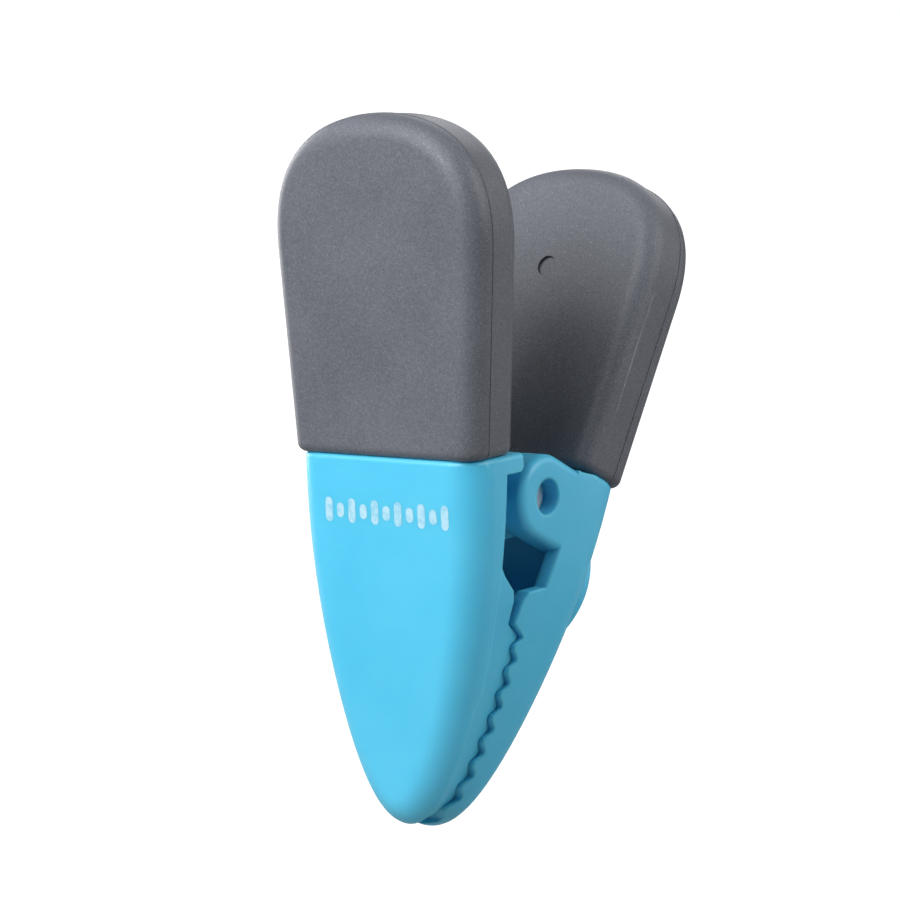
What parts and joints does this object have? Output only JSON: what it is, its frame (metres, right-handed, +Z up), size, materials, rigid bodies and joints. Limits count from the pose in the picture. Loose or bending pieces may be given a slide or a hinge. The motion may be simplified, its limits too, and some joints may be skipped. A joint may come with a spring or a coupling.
{
  "type": "bag clip",
  "caption": "Sprung clip with two tapering toothed jaws, soft grips on the handles and a magnet in its back, for holding a bag shut.",
  "frame": {"origin": "centre of the magnet's outer face, on the rear half's back", "axes": "+Z up along the front half's upright outer face, -Y out of that face, X along the pivot pin"},
  "size_m": [0.0378, 0.0574, 0.1028],
  "materials": {
    "jaw_plastic": "glossy moulded ABS",
    "soft_grip": "soft-touch, fine metallic fleck",
    "pin_steel": "drawn bright",
    "spring_steel": "drawn wire",
    "ferrite": "sintered, ground face"
  },
  "bodies": {
    "rear_half": {"rear_jaw": "jaw_plastic", "rear_grip": "soft_grip", "pivot_pin": "pin_steel", "torsion_spring": "spring_steel", "magnet": "ferrite"},
    "front_half": {"front_jaw": "jaw_plastic", "front_grip": "soft_grip"}
  },
  "joints": [
    {"name": "squeeze", "type": "hinge", "parent": "rear_half", "child": "front_half", "pos_m": [0, -0.01504, 0.01596], "axis": [-1, 0, 0], "range_deg": [0, 35], "stiffness_Nm_per_rad": 0.45, "springref_deg": -51.57, "deforming": ["torsion_spring"]}
  ]
}
